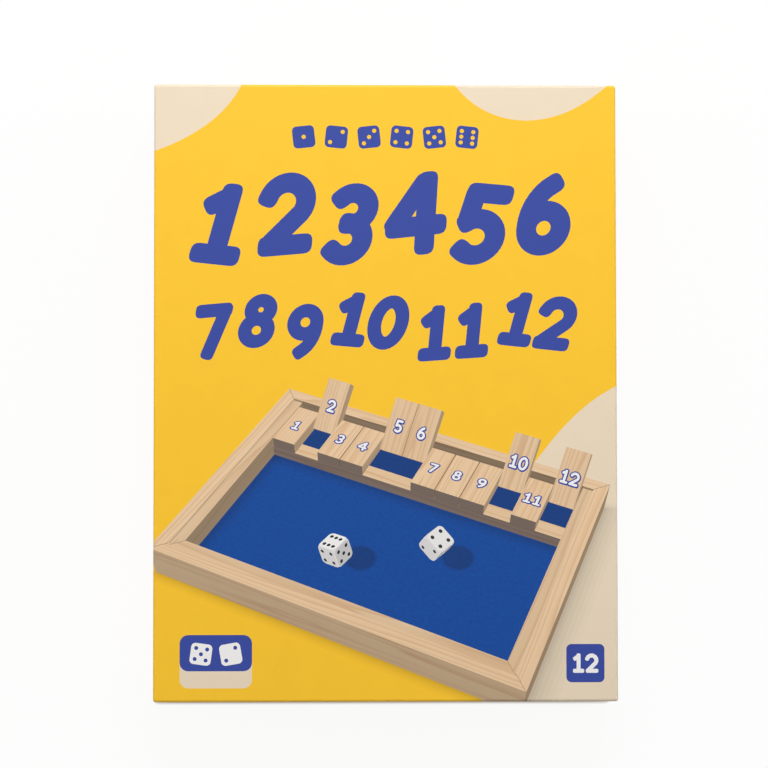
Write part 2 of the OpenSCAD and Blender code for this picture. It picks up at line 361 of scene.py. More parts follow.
# The channel's section, from the foot of one wall over the top to the foot of the other. It is
# drawn with X across and Y up, and stood on the base.
inner = CHANNEL_BOARD / 2
bend = inner + FOLD_INSIDE
left, right, top = insert_low.x + inner, channel_high - inner, insert_h - inner
section = [(left, CHANNEL_FOOT), *arc(left + bend, top - bend, bend, 180, 90, 15),
           *arc(right - bend, top - bend, bend, 90, 0, 15), (right, CHANNEL_FOOT)]
stand = Matrix(((1, 0, 0, 0), (0, 0, 1, -half_l * MM), (0, 1, 0, insert_low.z * MM), (0, 0, 0, 1)))
boards = [folded_board(section, 2 * half_l, CHANNEL_BOARD, stand)]
stand = Matrix.Translation((0, 0, (insert_low.z + PAD_PLAY / 2) * MM))
for end in (-1, 1):
    for layer in (0.5, 1.5):
        y = end * (half_l - PAD_BOARD * layer)
        boards.append(folded_board([(channel_high + PAD_PLAY, y), (insert_high.x - PAD_PLAY, y)],
                                   insert_h - PAD_PLAY, PAD_BOARD, stand))
points, faces = [], []
for board in boards:
    start = len(points)
    points += [v.co for v in board.vertices]
    faces += [[start + i for i in face.vertices] for face in board.polygons]
insert = placed_object(mesh_of("insert_boards", points, faces, [kraft]), "box_base")
thicken(insert, LINER_PAPER)
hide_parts("card_insert")

# ---- Rules leaflet -------------------------------------------------------------------------
# One sheet of thin white paper folded zigzag into four leaves. It lies loose under the tray, and
# its leaves stand a little apart.
SHEET_THICK = 0.1
LEAF_RISE = (0.07, 0.24, 0.42, 0.58)  # the leaves' heights over the base at the fold
LEAF_LIFT = 0.045  # that each leaf's far edge stands up more than the one under it
LEAF_SHORT = 0.5  # that every second leaf is cut short
LEAF_STEPS, LEAF_ROWS = 16, 30
FOLD_ROOM, EDGE_ROOM = 0.3, 0.1  # from the leaflet's sides to the folds' middles and the far edges
PAPER_CLOUD_MM = 2.86

white_paper, tree, shader = new_material("white_paper")
# Uncoated offset paper: cloudy where it is held to the light, with a faint tooth.
cloud = noise(tree, object_mm(tree), PAPER_CLOUD_MM, detail=6.0)
stock = mix(tree, cloud, "#ece9e0", "#f7f5ee")
tooth = bump(tree, cloud, 0.03, 0.4)
connect(shader, {"Base Color": stock, "Normal": tooth, "Roughness": 0.8})

leaflet_low, leaflet_high = box_mm("rules_leaflet")
near_x, far_x = leaflet_low.x + FOLD_ROOM, leaflet_high.x - EDGE_ROOM
# The section of the whole sheet, from its lower end, leaf by leaf.
profile = []
for leaf, rise in enumerate(LEAF_RISE):
    short = leaf % 2
    leaf_w = far_x - LEAF_SHORT * short - near_x
    line = [(near_x + leaf_w * i / LEAF_STEPS, rise + LEAF_LIFT * leaf * (i / LEAF_STEPS) ** 2)
            for i in range(LEAF_STEPS + 1)]
    profile += line if short else line[::-1]
    if not short:
        above = LEAF_RISE[leaf + 1]
        profile += arc(near_x, (rise + above) / 2, (above - rise) / 2, 240, 120, 30)
across = len(profile)
points, faces = [], []
for row in range(LEAF_ROWS + 1):
    y = leaflet_low.y + (leaflet_high.y - leaflet_low.y) * row / LEAF_ROWS
    points += [Vector((x, y, leaflet_low.z + z)) * MM for x, z in profile]
for row in range(LEAF_ROWS):
    for a in range(row * across, (row + 1) * across - 1):
        faces.append([a, a + 1, a + across + 1, a + across])
leaflet = placed_object(mesh_of("folded_leaflet", points, faces, [white_paper]), "box_base")
thicken(leaflet, SHEET_THICK)
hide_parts("rules_leaflet")

# ---- Pine rails and divider bar ------------------------------------------------------------
# Solid pine, planed and sanded, with a thin satin lacquer. The rails are mitred and glued, and the
# grain runs along each piece, with end grain where it is cut across.
PITH = (0, 1, 46)  # from the pith to the middle of the plank
RING_WANDER = 26.0  # that the rings swing to and fro
WANDER_MM = 18.2  # across the grain, from one swing to the next
PATCH_MM = 12.5  # across the grain, from paler to darker wood
PLANK = (900, 60, 18)  # the size of the plank that the pieces are cut from


def pine_colours(tree, along, ring_mm=3.4):
    """Pine sawn along the X of the given coordinates in mm: its colour and its fibres.

    The rings lie round a pith outside the piece and wander slowly along it, so each face shows
    long, slightly wavy lines, as flat-sawn pine does."""
    stretch = vectors(tree, "MULTIPLY", along, (0.045, 1, 1))
    wander = noise(tree, stretch, WANDER_MM)
    from_pith = vectors(tree, "MULTIPLY_ADD", stretch, (0, 1, 1), PITH)
    radius = vectors(tree, "LENGTH", from_pith)
    drift = maths(tree, "MULTIPLY_ADD", wander, RING_WANDER, radius)
    turns = maths(tree, "DIVIDE", drift, ring_mm)
    ring = maths(tree, "FRACT", turns)
    # Each ring darkens slowly to its late wood and ends sharply.
    late = add(tree, "ShaderNodeValToRGB", {"Fac": ring})
    late.color_ramp.elements[1].color = (0, 0, 0, 1)
    for position, level in ((0.45, 0.12), (0.80, 0.62), (0.88, 0.8), (0.94, 0.1)):
        late.color_ramp.elements.new(position).color = (level, level, level, 1)
    fibre_place = vectors(tree, "MULTIPLY", along, (0.05, 2.2, 2.2))
    fibre = noise(tree, fibre_place, 1.0, detail=4.0)
    patch = noise(tree, stretch, PATCH_MM, detail=1.0)
    pale = mix(tree, patch, "#efd0a6", "#e3bb8a")
    ringed = mix(tree, late, pale, "#c8935a")
    return overlay(tree, ringed, "#cfa06c", fibre, 0.35, 0.75, 0.28), fibre


def wood(name, grain_turn, axis, count_from, each, ring_mm=3.4):
    """Pine whose grain runs along its turned X axis. Each piece, counted off along an axis, is cut
    from its own place in the plank."""
    made, tree, shader = new_material(name)
    place = object_mm(tree)
    counted = add(tree, "ShaderNodeSeparateXYZ", {0: place}).outputs[axis]
    count = maths(tree, "SUBTRACT", counted, count_from)
    step = maths(tree, "DIVIDE", count, each)
    index = maths(tree, "FLOOR", step)
    chance = add(tree, "ShaderNodeTexWhiteNoise", {"W": index}, noise_dimensions="1D")
    offset = vectors(tree, "MULTIPLY", chance.outputs["Color"], PLANK)
    turned = add(tree, "ShaderNodeVectorRotate", {"Vector": place, "Rotation": grain_turn},
                 rotation_type="EULER_XYZ")
    along = vectors(tree, "ADD", turned, offset)
    colour, fibre = pine_colours(tree, along, ring_mm)
    warmth = ranged(tree, chance, 0.9, 1.04)
    pores = bump(tree, fibre, 0.05, 0.45)
    # Satin lacquer sunk into the wood: a soft shine that the raised fibres break up.
    gloss = ranged(tree, fibre, 0.42, 0.6)
    connect(shader, {"Base Color": shaded(tree, colour, warmth), "Normal": pores, "Roughness": gloss,
                     "Coat Weight": 0.2, "Coat Roughness": 0.3})
    return made


ALONG_Y = (0, 0, math.radians(-90))
clothe(["rail_back", "rail_front", "divider_bar"],
       wood("pine_long_rails", ALONG_Y, "X", count_from=-110, each=55))
clothe(["rail_left", "rail_right"], wood("pine_side_rails", (0, 0, 0), "Y", count_from=-200, each=200))

# ---- Plywood floor -------------------------------------------------------------------------
# Three-ply birch let into the rails' grooves. Its bare underside shows when the tray is lifted
# out: rotary-cut veneer, with broad faint figure and short dark pores.
PLY_MM = 1.0
FIGURE_MM = 14.3

ply, tree, shader = new_material("birch_plywood")
place = object_mm(tree)
drawn = vectors(tree, "MULTIPLY", place, (1.0, 0.12, 1.0))
figure = noise(tree, drawn, FIGURE_MM, detail=4.0, distortion=0.6)
pore_place = vectors(tree, "MULTIPLY", place, (3.0, 0.4, 3.0))
pore = noise(tree, pore_place, 1.0)
veneer = mix(tree, figure, "#d9b985", "#c7a16a")
face_ply = overlay(tree, veneer, "#9c7542", pore, 0.62, 0.72, 0.4)
# At a cut edge the middle ply shows its end grain, darker than the faces.
floor_low, floor_high = box_mm("tray_floor")
up = add(tree, "ShaderNodeSeparateXYZ", {0: place}).outputs["Z"]
level = maths(tree, "SUBTRACT", up, (floor_low.z + floor_high.z) / 2)
deep = maths(tree, "ABSOLUTE", level)
core = maths(tree, "LESS_THAN", deep, PLY_MM / 2)
plies = mix(tree, core, face_ply, "#a77f4d")
rough_cut = bump(tree, pore, 0.06, 0.5)
connect(shader, {"Base Color": plies, "Normal": rough_cut, "Roughness": 0.7})
clothe(["tray_floor"], ply)

# ---- Felt ----------------------------------------------------------------------------------
# Royal-blue pressed wool felt glued over the whole floor. It has no weave: the fibres lie matted
# every way, and some stand off its surface.
FELT_CELL = 2.0
FELT_SWELL = 0.06  # that the matted surface rises and falls
CLUMP_MM = 4.55
MATTED_MM = 0.588
HAIR_COUNT = 14000
HAIR_LENGTH = 1.6
HAIR_WIDTH = 0.045

blue_felt, tree, shader = new_material("blue_felt")
place = object_mm(tree)
clump = noise(tree, place, CLUMP_MM, detail=3.0)
matting = noise(tree, place, MATTED_MM, detail=6.0, distortion=3.0)
dyed = mix(tree, clump, "#06367f", "#0b4a9e")
wool = overlay(tree, dyed, "#2060b4", matting, 0.45, 0.7, 0.45)
fuzz = bump(tree, matting, 0.3, 0.7)
# Loose fibre ends catch grazing light, so the cloth has a pale bloom at low angles.
connect(shader, {"Base Color": wool, "Normal": fuzz, "Roughness": 0.95,
                 "Sheen Weight": 0.12, "Sheen Roughness": 0.5})

felt_low, felt_high = box_mm("felt_sheet")
felt_w, felt_l = felt_high.x - felt_low.x, felt_high.y - felt_low.y
chance = random.Random(7)
columns, rows = round(felt_w / FELT_CELL), round(felt_l / FELT_CELL)
points, faces = [], []
for on_top in (False, True):
    for row in range(rows + 1):
        for column in range(columns + 1):
            z = felt_high.z - FELT_SWELL * chance.random() if on_top else felt_low.z
            points.append(Vector((felt_low.x + felt_w * column / columns,
                                  felt_low.y + felt_l * row / rows, z)) * MM)
width = columns + 1
size = width * (rows + 1)
for row in range(rows):
    for a in range(row * width, row * width + columns):
        faces.append([size + a, size + a + 1, size + a + width + 1, size + a + width])
        faces.append([a + width, a + width + 1, a + 1, a])
# The cut edge, from corner to corner round the cloth.
rim = [*range(width), *range(2 * width - 1, size, width), *range(size - 2, size - width - 1, -1),
       *range(size - 2 * width, 0, -width)]
for a, b in zip(rim, rim[1:] + rim[:1]):
    faces.append([a, b, size + b, size + a])
felt = placed_object(mesh_of("felt_cloth", points, faces, [blue_felt]), "tray")
felt.data.polygons.foreach_set("use_smooth", [True] * len(faces))
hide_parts("felt_sheet")

# The loose fibres: short bent hairs scattered over the top.
nap_nodes, given = new_group("felt_nap", {
    "Cloth": "Geometry", "Density": "Float", "Length": "Float", "Thickness": "Float", "Seed": "Int",
    "Wool": "Material"})
spots = add(nap_nodes, "GeometryNodeDistributePointsOnFaces",
            {"Mesh": given["Cloth"], "Density": given["Density"], "Seed": given["Seed"]})
bow = add(nap_nodes, "GeometryNodeCurveQuadraticBezier",
          {"Resolution": 3, "Start": (-0.5, 0, 0), "Middle": (0.05, 0.22, 0.3), "End": (0.5, 0, 0.02)})
strip = add(nap_nodes, "GeometryNodeCurvePrimitiveLine", {"Start": (0, -0.5, 0), "End": (0, 0.5, 0)})
thin = maths(nap_nodes, "DIVIDE", given["Thickness"], given["Length"])
profile = add(nap_nodes, "GeometryNodeTransform", {"Geometry": strip, "Scale": thin})
hair = add(nap_nodes, "GeometryNodeCurveToMesh", {"Curve": bow, "Profile Curve": profile})
whirl = add(nap_nodes, "FunctionNodeRandomValue",
            {"Min": (-0.15, -0.15, 0.0), "Max": (0.15, 0.15, 6.283), "Seed": given["Seed"]},
            data_type="FLOAT_VECTOR")
spread = add(nap_nodes, "FunctionNodeRandomValue", {"Min": 0.4, "Seed": given["Seed"]}, data_type="FLOAT")
long = maths(nap_nodes, "MULTIPLY", spread, given["Length"])
strewn = add(nap_nodes, "GeometryNodeInstanceOnPoints",
             {"Points": spots, "Instance": hair, "Rotation": whirl, "Scale": long})
real = add(nap_nodes, "GeometryNodeRealizeInstances", {"Geometry": strewn})
dyed = add(nap_nodes, "GeometryNodeSetMaterial", {"Geometry": real, "Material": given["Wool"]})
add(nap_nodes, "NodeGroupOutput", {0: dyed})

margin = HAIR_LENGTH / 2 + 0.1
x0, x1, y0, y1 = felt_low.x + margin, felt_high.x - margin, felt_low.y + margin, felt_high.y - margin
bed = mesh_of("bed", [Vector((x, y, felt_high.z - FELT_SWELL)) * MM
                      for x, y in ((x0, y0), (x1, y0), (x1, y1), (x0, y1))], [(0, 1, 2, 3)])
nap_mesh = grown(bed, nap_nodes, {
    "Density": HAIR_COUNT / (felt_w * felt_l * MM * MM), "Seed": 11, "Length": HAIR_LENGTH * MM,
    "Thickness": HAIR_WIDTH * MM, "Wool": blue_felt})
bpy.data.meshes.remove(bed)
nap_mesh.name = "felt_nap"
nap = placed_object(nap_mesh, "tray")

# ---- Steel rod -----------------------------------------------------------------------------
# Drawn steel wire cut to length, on which all the tiles turn. Its ends sit in blind holes in the
# side rails. The drawing die leaves fine lines along it.
drawn_steel, tree, shader = new_material("drawn_steel")
lines = vectors(tree, "MULTIPLY", object_mm(tree), (6.0, 0.02, 6.0))
scratch = noise(tree, lines, 1.0, detail=3.0)
steel = mix(tree, scratch, "#a9abad", "#cdced0")
rub = ranged(tree, scratch, 0.24, 0.42)
connect(shader, {"Base Color": steel, "Roughness": rub, "Metallic": 1.0})
clothe(["pivot_rod"], drawn_steel)

# ---- Number tiles --------------------------------------------------------------------------
# Twelve flat pieces of the same pine, bored for the rod. Each has its number screen-printed on
# both faces, in white with a blue outline and a blue shadow, so that it reads up or down.
TILE_PITCH = 20
DIGIT_ADVANCE = 0.68
DIGIT_BEARING = 0.03  # that a digit's middle lies right of its cell's
NUMBER_HEIGHT = 11.0
NUMBER_AHEAD = 3.0  # from the tile's middle towards its front end
INK_FILM = 0.03
OUTLINE_PEN, FILL_PEN = 0.16, 0.085  # halves of the pens' widths, in heights of the number
NUMBER_SHADOW = (0.05 * NUMBER_HEIGHT, -0.055 * NUMBER_HEIGHT)
tile_wood = wood("pine_tiles", (0, 0, 0), "Y", count_from=-6 * TILE_PITCH, each=TILE_PITCH, ring_mm=2.9)
hinges = {joint["child"]: joint for joint in frame["joints"] if joint["type"] == "hinge"}
tile_names = sorted(hinges)
clothe(tile_names, tile_wood)

# Numbers in a bold hand with slab feet, drawn as pen strokes in a cell 1 high. A stroke is its
# centre line, and closes where its first and last points meet.
DIGITS = {
    "0": [arc(0.34, 0.5, 0.24, 0, 360, squash=1.6)],
    "1": [[(0.37, 0.12), (0.37, 0.88)], [(0.34, 0.83), (0.2, 0.73)], [(0.19, 0.12), (0.55, 0.12)]],
    "2": [arc(0.34, 0.64, 0.235, 160, -38) + [(0.2, 0.18)], [(0.15, 0.12), (0.57, 0.12)]],
    "3": [arc(0.32, 0.69, 0.19, 140, -90), arc(0.32, 0.31, 0.2, 90, -132)],
    "4": [[(0.41, 0.85), (0.1, 0.4)], [(0.1, 0.35), (0.61, 0.35)], [(0.47, 0.12), (0.47, 0.88)]],
    "5": [[(0.21, 0.88), (0.53, 0.88)], [(0.2, 0.85), (0.18, 0.56)], arc(0.33, 0.34, 0.225, 130, -128)],
    "6": [arc(0.34, 0.33, 0.21, 0, 360), arc(0.6, 0.36, 0.47, 180, 113, squash=1.15)],
    "7": [[(0.13, 0.88), (0.56, 0.88)], [(0.56, 0.87), (0.29, 0.12)]],
    "8": [arc(0.34, 0.705, 0.17, 0, 360), arc(0.34, 0.325, 0.205, 0, 360)],
    "9": [arc(0.34, 0.67, 0.21, 0, 360), arc(0.08, 0.64, 0.47, 0, -67, squash=1.15)],
}


def stroke_part(points, half):
    """A stroke's outline as one part: a round-ended loop, or two loops where the stroke closes."""
    closed = math.dist(points[0], points[-1]) < 1e-6
    if closed:
        points = points[:-1]
    count = len(points)
    left, right, headings = [], [], []
    for i, here in enumerate(points):
        before = points[i - 1] if closed or i else here
        after = points[(i + 1) % count] if closed or i < count - 1 else here
        heading = math.atan2(after[1] - before[1], after[0] - before[0])
        headings.append(heading)
        dx, dy = half * math.cos(heading), half * math.sin(heading)
        left.append((here[0] - dy, here[1] + dx))
        right.append((here[0] + dy, here[1] - dx))
    if closed:
        return [left, right]
    ends = []
    for (x, y), heading in ((points[-1], headings[-1]), (points[0], headings[0] + math.pi)):
        end = []
        for degrees in range(75, -90, -15):
            a = math.radians(degrees)
            # Between a round end and a square one.
            reach = half / (abs(math.cos(a)) ** 3.2 + abs(math.sin(a)) ** 3.2) ** (1 / 3.2)
            end.append((x + reach * math.cos(heading + a), y + reach * math.sin(heading + a)))
        ends.append(end)
    return [left + ends[0] + right[::-1] + ends[1]]


def turned_to(points, x, y, tilt):
    """Points turned by tilt degrees about the origin, and then moved to [x, y]."""
    c, s = math.cos(math.radians(tilt)), math.sin(math.radians(tilt))
    return [(x + c * px - s * py, y + s * px + c * py) for px, py in points]


def number_parts(text, x, y, height, pen, tilt=0.0, slant=0.0, shift=(0, 0)):
    """The parts of a number centred on [x, y]. Its strokes are one pen wide on each side."""
    parts = []
    for place, digit in enumerate(text):
        start = DIGIT_ADVANCE * place - DIGIT_ADVANCE * len(text) / 2 - DIGIT_BEARING
        for stroke in DIGITS[digit]:
            part = []
            for loop in stroke_part(stroke, pen):
                flat = [((px + start) * height, (py - 0.5) * height) for px, py in loop]
                leaning = [(px + slant * py + shift[0], py + shift[1]) for px, py in flat]
                part.append(turned_to(leaning, x, y, tilt))
            parts.append(part)
    return parts


def cut_areas(shapes, edges=(), ground=None):
    """Cuts the plane along every outline and edge, so that one layer shows what lies uppermost.

    A shape is a dictionary of its ink and its parts. A part is a list of loops, of which the ones
    inside others are holes. A shape without an ink is a tint over what lies under it. Nothing
    outside the ground, which is the index of a shape, is kept. Returns the points, the faces, and
    for each face its uppermost shape, or None, and the tints over that."""
    points, cuts, faces, owner = [], [], [], []
    for index, shape in enumerate(shapes):
        for part_index, part in enumerate(shape["parts"]):
            for loop in part:
                area = sum(a[0] * b[1] - b[0] * a[1] for a, b in zip(loop, loop[1:] + loop[:1]))
                faces.append(list(range(len(points), len(points) + len(loop))))
                points.extend(Vector(p) for p in (loop if area > 0 else loop[::-1]))
                owner.append((index, part_index))
    for a, b in edges:
        cuts.append((len(points), len(points) + 1))
        points.extend((Vector(a), Vector(b)))
    points, _, faces, _, _, sources = delaunay_2d_cdt(points, cuts, faces, 1, 1e-5, True)
    found = []
    for loops in sources:
        counts = {}
        for loop in loops:
            counts[owner[loop]] = counts.get(owner[loop], 0) + 1
        tints, top = 1.0, None
        over = {shape for (shape, _), n in counts.items() if n % 2}
        for index in sorted(over if ground is None or ground in over else (), reverse=True):
            if shapes[index]["ink"]:
                top = index
                break
            tints *= shapes[index]["tone"]
        found.append((top, tints))
    return points, faces, found


def ink_on_wood(name, hex_code):
    """Screen ink that has sunk a little into the wood, so the grain shows in it faintly."""
    made, tree, shader = new_material(name)
    drawn = vectors(tree, "MULTIPLY", object_mm(tree), (0.15, 3.0, 3.0))
    grain = noise(tree, drawn, 1.0, detail=3.0)
    connect(shader, {"Base Color": overlay(tree, hex_code, "#c9a36d", grain, 0.6, 0.85, 0.3),
                     "Roughness": 0.5})
    return made


WOOD_INKS = [ink_on_wood("blue_ink_on_wood", "#3a3f9c"), ink_on_wood("white_ink_on_wood", "#f1ede4")]
# From the lowest: the place of each layer's ink, its pen and its shift.
NUMBER_LAYERS = ((0, OUTLINE_PEN, NUMBER_SHADOW), (0, OUTLINE_PEN, (0, 0)), (1, FILL_PEN, (0, 0)))
for number, name in enumerate(tile_names, 1):
    low, high = box_mm(name)
    middle = (low + high) / 2
    cut_points, cut_faces, found = cut_areas([
        {"ink": "any", "parts": number_parts(str(number), 0, 0, NUMBER_HEIGHT, pen, shift=shift)}
        for _, pen, shift in NUMBER_LAYERS])
    points, faces, inks = [], [], []
    # The top's number reads from the front, and the underside's once the tile is up.
    for x_way, z in ((-1, high.z + INK_FILM), (1, low.z - INK_FILM)):
        start = len(points)
        points += [Vector((middle.x + NUMBER_AHEAD + x_way * y, middle.y + x, z)) * MM for x, y in cut_points]
        for face, (layer, _) in zip(cut_faces, found):
            if layer is not None:
                faces.append([start + i for i in (face if x_way < 0 else face[::-1])])
                inks.append(NUMBER_LAYERS[layer][0])
    placed_object(mesh_of(name + "_number", points, faces, WOOD_INKS, inks), name)

# ---- Dice ----------------------------------------------------------------------------------
# Two moulded white dice, tumbled until their corners are round. The pips are dimples in the
# mould, filled with black paint.
DIE_EDGE = 16
CORNER_SPHERE = 0.69 * DIE_EDGE  # radius of the sphere that rounds the corners
PIP_LIP = 0.03  # how deep the black paint begins under a flat face
CORNER_LIP = 0.05  # and under the sphere
FLOW_MM = 4.0
for name, turn in {"die_1": (0, 0, 114), "die_2": (90, 0, 73)}.items():
    dice_plastic, tree, shader = new_material("dice_plastic_" + name[-1])
    low, high = box_mm(name)
    place = object_mm(tree, (low + high) / 2, [math.radians(a) for a in turn])
    size = vectors(tree, "ABSOLUTE", place)
    parts = add(tree, "ShaderNodeSeparateXYZ", {0: size}).outputs
    wide = maths(tree, "MAXIMUM", parts["X"], parts["Y"])
    widest = maths(tree, "MAXIMUM", wide, parts["Z"])
    radius = vectors(tree, "LENGTH", place)
    sunk = maths(tree, "LESS_THAN", widest, DIE_EDGE / 2 - PIP_LIP)
    inner = maths(tree, "LESS_THAN", radius, CORNER_SPHERE - CORNER_LIP)
    pip = maths(tree, "MULTIPLY", sunk, inner)
    flow = noise(tree, place, FLOW_MM)
    white = mix(tree, flow, "#f2f0ea", "#faf9f5")
    painted = mix(tree, pip, white, "#17171a")
    # Polished thermoplastic: tight highlights, and a little light carried through at the corners.
    scuff = ranged(tree, flow, 0.14, 0.28)
    connect(shader, {"Base Color": painted, "Roughness": scuff, "Subsurface Weight": 0.05,
                     "Subsurface Scale": 2.0 * MM})
    clothe([name], dice_plastic)

# ---- Greyboard of the lid ------------------------------------------------------------------
# The same grey board, cut and folded a little larger, so that the lid slides over the base. It
# shows inside the lid, above the printed paper's turned-in edge.
clothe(["lid_board"], greyboard)

# ---- Printed paper of the lid --------------------------------------------------------------
# One sheet of litho-printed paper is glued over the lid's board, folded down its sides and turned
# in over its rim. It is drawn flat, as the printer sees it, cut into areas of one ink each, and
# folded round the board. Its turned-in side is the CAD piece's own.
PRINT_NAP_MM = 2.86
FOLD_R = 1.2  # radius of the lid's wrapped edges
RIM_R = 0.6  # radius at the foot of the lid's sides
FOLD_STEPS = 4
wrap_low, wrap_high = box_mm("lid_wrap")
COVER_W = wrap_high.x - wrap_low.x
COVER_L = wrap_high.y - wrap_low.y
COVER_Z = wrap_high.z
FLAT_X = COVER_W / 2 - FOLD_R
FLAT_Y = COVER_L / 2 - FOLD_R
FOLD_LENGTH = FOLD_R * math.pi / 2
CORNER_SHARE = FOLD_R * math.pi / 4  # a side's half of the arc round an upright edge
SIDE_DEPTH = FOLD_LENGTH + COVER_Z - FOLD_R - wrap_low.z - RIM_R


def printed(name, stuff):
    """Ink on the cover. stuff is its colour, or a function that makes the colour of a pictured
    stuff, whose grain follows the piece that it pictures."""
    made, tree, shader = new_material(name)
    if callable(stuff):
        stuff = stuff(tree, add(tree, "ShaderNodeAttribute", attribute_name="grain").outputs["Vector"])
    tone = add(tree, "ShaderNodeAttribute", attribute_name="tone").outputs["Fac"]
    finish_as_print(tree, shader, stuff, tone)
    return made


def pictured_pine(share, light):
    """A maker of pictured pine, with a share of the colour of the light or shade on it."""
    def colour(tree, grain):
        pine, _ = pine_colours(tree, grain)
        return mix(tree, share, pine, light)
    return colour


def pictured_felt(tree, grain):
    nap = noise(tree, grain, PRINT_NAP_MM, detail=5.0)
    return mix(tree, nap, "#003b86", "#0650a6")


INKS = {
    "yellow": printed("yellow_print", COVER_YELLOW),
    "cream": printed("cream_print", "#ecdabf"),
    "blue": printed("blue_print", "#34479b"),
    "white": printed("white_print", "#f6f4f2"),
    "black": printed("black_print", "#22232b"),
    "pine": printed("pine_in_print", pictured_pine(0.3, "#f6dcc0")),
    "shaded_pine": printed("shaded_pine_in_print", pictured_pine(0.62, "#5b5f74")),
    "felt": printed("felt_in_print", pictured_felt),
}

# What is printed, from the ground up. Each shape has an ink, or a tint over what lies under it, and
# parts. A part is a list of loops, of which the ones inside others are holes.
shapes = []


def lay(ink, parts, tone=1.0, grain=None):
    """Prints a shape over all that has been laid so far."""
    shapes.append({"ink": ink, "parts": parts, "tone": tone, "grain": grain})


def circle(x, y, radius, step):
    return arc(x, y, radius, 0, 360, step)[:-1]


def rounded_box(x, y, width, height, radius, tilt=0.0):
    """A rectangle with rounded corners about [x, y], turned by tilt degrees."""
    points = []
    for sx, sy, start in ((1, 1, 0), (-1, 1, 90), (-1, -1, 180), (1, -1, 270)):
        points += arc(sx * (width / 2 - radius), sy * (height / 2 - radius), radius, start, start + 90, 18)
    return turned_to(points, x, y, tilt)


# The ground: yellow, with cream shapes that run off the edges and on down the sides.
side_x, side_y = FLAT_X + SIDE_DEPTH, FLAT_Y + SIDE_DEPTH
share_x, share_y = FLAT_X + CORNER_SHARE, FLAT_Y + CORNER_SHARE
lay("yellow", [[[(share_x, share_y), (share_x, side_y), (-share_x, side_y), (-share_x, share_y),
                 (-side_x, share_y), (-side_x, -share_y), (-share_x, -share_y), (-share_x, -side_y),
                 (share_x, -side_y), (share_x, -share_y), (side_x, -share_y), (side_x, share_y)]]])


def wavy_round(x, y, radius, lobes, depth, turn):
    """A soft round shape whose radius swells and shrinks along its edge."""
    points = []
    for degrees in range(0, 360, 4):
        a = math.radians(degrees)
        r = radius * (1 + depth * math.sin(lobes * a + math.radians(turn)))
        points.append((x + r * math.cos(a), y + r * math.sin(a)))
    return points


for cloud in ((-118, 158, 50, 2, 0.12, 40), (130, -92, 92, 3, 0.1, 200), (76, 180, 50, 2, 0.1, 0)):
    lay("cream", [[wavy_round(*cloud)]])

# The numbers one to twelve, large, in two rows.
TITLE_PEN, TITLE_SLANT = 0.122, 0.17
TITLE_HALF_W = 90
TITLE_ROWS = (("1 2 3 4 5 6", 82, 39), ("7 8 9 10 11 12", 31, 26))  # with their middles and heights
TITLE_TILTS = (-6, 5, -3, 6, -5, 4)
TITLE_SWAY = 2.5  # that the numbers stand above and below the row's middle in turn
for row, (words, middle_y, height) in enumerate(TITLE_ROWS):
    numbers = words.split()
    widths = [DIGIT_ADVANCE * len(text) * height for text in numbers]
    space = (2 * TITLE_HALF_W - sum(widths)) / (len(numbers) - 1)
    x = -TITLE_HALF_W
    for i, (text, width) in enumerate(zip(numbers, widths)):
        lay("blue", number_parts(text, x + width / 2, middle_y + (TITLE_SWAY if i % 2 else -TITLE_SWAY),
                                 height, TITLE_PEN, TITLE_TILTS[(i + row) % 6], TITLE_SLANT))
        x += width + space


def pips(count):
    """Where the pips of a face lie, from -1 to 1."""
    places = [(0, 0)] if count % 2 else []
    if count > 1:
        places += [(-1, -1), (1, 1)]
    if count > 3:
        places += [(-1, 1), (1, -1)]
    if count == 6:
        places += [(-1, 0), (1, 0)]
    return places


def die_icon(count, x, y, size, ink, pip_ink, tilt):
    """A small flat die."""
    lay(ink, [[rounded_box(x, y, size, size, size * 0.2, tilt)]])
    spread = size * 0.26
    for px, py in turned_to([(spread * u, spread * v) for u, v in pips(count)], x, y, tilt):
        lay(pip_ink, [[circle(px, py, size * 0.095, 20)]])


# A line of small dice over the numbers, and two plain badges at the foot.
for face in range(1, 7):
    die_icon(face, (face - 3.5) * 15.5, 121, 10.5, "blue", "yellow", 6 if face % 2 else -6)
BADGE_Y = -COVER_L / 2 + 19
NUMBER_BADGE_X, DICE_BADGE_X = 94, -80
lay("blue", [[rounded_box(NUMBER_BADGE_X, BADGE_Y - 1, 18, 18, 2.4)]])
lay("white", number_parts("12", NUMBER_BADGE_X, BADGE_Y - 1, height=9.5, pen=0.1))
lay("cream", [[rounded_box(DICE_BADGE_X, BADGE_Y, 34, 25, 4)]])
lay("blue", [[rounded_box(DICE_BADGE_X, BADGE_Y + 4, 34, 17, 4)]])
die_icon(5, DICE_BADGE_X - 7, BADGE_Y + 3.5, 10, "white", "blue", -8)
die_icon(2, DICE_BADGE_X + 7, BADGE_Y + 3.5, 10, "white", "blue", 10)

# The picture of the game: the tray and its pieces as they are in the box, seen from the player's
# side with some tiles up, each face laid as one flat shape from the farthest to the nearest.
PICTURE_CENTRE = Vector((1, -64))
PICTURE_SCALE = 0.64  # size in print, against the real tray's at the picture's centre
VIEW_DISTANCE = 620
VIEW_TURN = math.radians(-25)
VIEW_HEIGHT = math.radians(47)
LIGHT = Vector((0.25, -0.35, 0.9)).normalized()
WOOD_SHADE, WOOD_LIT = 0.52, 0.5  # the tone of pictured wood in shade, and what full light adds to it
DIE_SHADE, DIE_LIT = 0.62, 0.4
PICTURED_LAYERS = (("blue", 0.165, (0.25, -0.3)), ("blue", 0.165, (0, 0)), ("white", FILL_PEN, (0, 0)))
X_AXIS, Y_AXIS, Z_AXIS = Vector((1, 0, 0)), Vector((0, 1, 0)), Vector((0, 0, 1))
tray_low, tray_high = box_mm("rail_back", "rail_front", "rail_left", "rail_right")
tray_centre = (tray_low + tray_high) / 2
